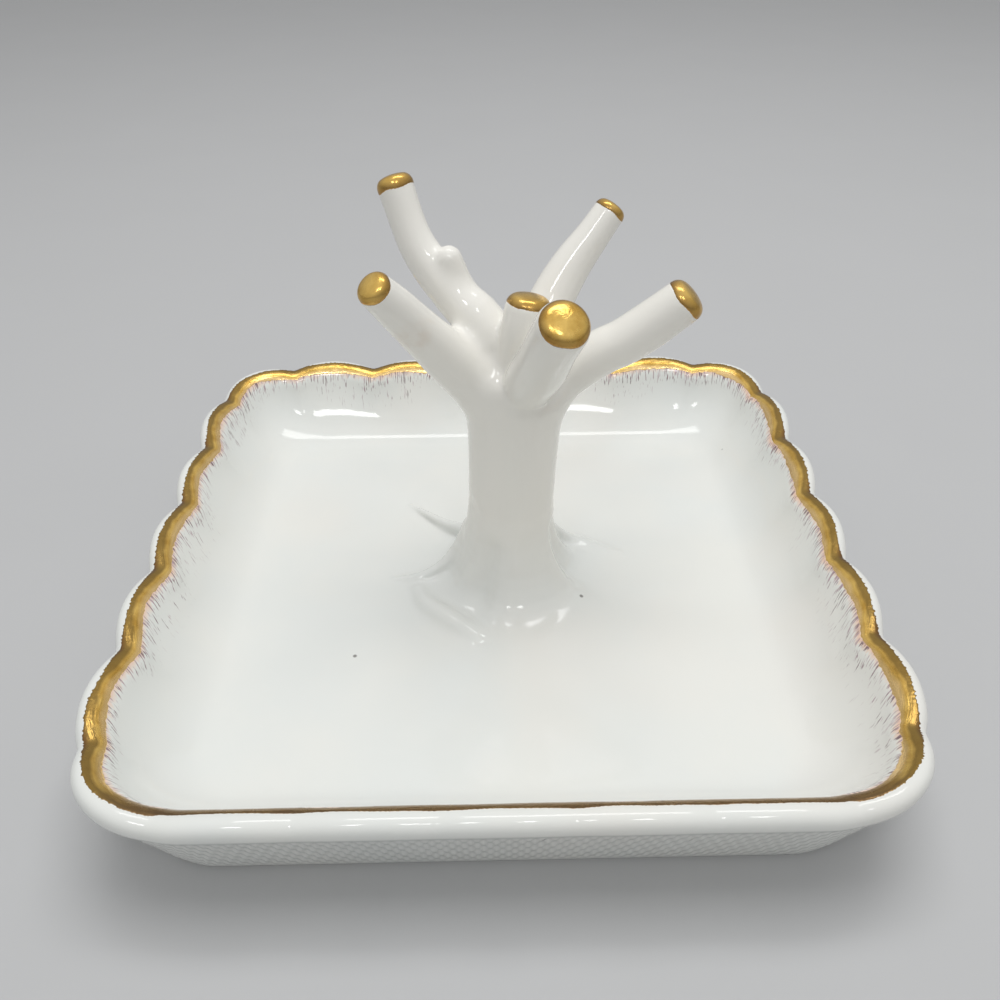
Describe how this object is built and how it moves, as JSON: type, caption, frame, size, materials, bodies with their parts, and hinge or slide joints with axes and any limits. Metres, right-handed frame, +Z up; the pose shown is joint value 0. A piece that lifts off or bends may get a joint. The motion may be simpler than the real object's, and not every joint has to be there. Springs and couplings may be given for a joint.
{
  "type": "ring dish",
  "caption": "Square porcelain tray with a scalloped gilded rim and a small branching tree in its middle, whose gilt-tipped branches hold rings.",
  "frame": {"origin": "middle of the tray on the plane that its foot ring rests on", "axes": "+Z up, along the tree; +X to the right and -Y towards the viewer of the side with the front branch"},
  "size_m": [0.108, 0.1073, 0.0685],
  "materials": {
    "porcelain_tray": "glossy white glaze, slightly cool",
    "porcelain_tree": "glossy white glaze",
    "gold": "burnished fired gold, brushed on by hand"
  },
  "bodies": {
    "root": {"tray": "porcelain_tray", "rim_gilding": "gold", "trunk": "porcelain_tree", "branch_front": "porcelain_tree", "branch_middle": "porcelain_tree", "branch_right": "porcelain_tree", "branch_left": "porcelain_tree", "branch_back_left": "porcelain_tree", "branch_back_right": "porcelain_tree", "twig_stub": "porcelain_tree", "tip_gilding_front": "gold", "tip_gilding_middle": "gold", "tip_gilding_right": "gold", "tip_gilding_left": "gold", "tip_gilding_back_left": "gold", "tip_gilding_back_right": "gold"}
  },
  "joints": []
}
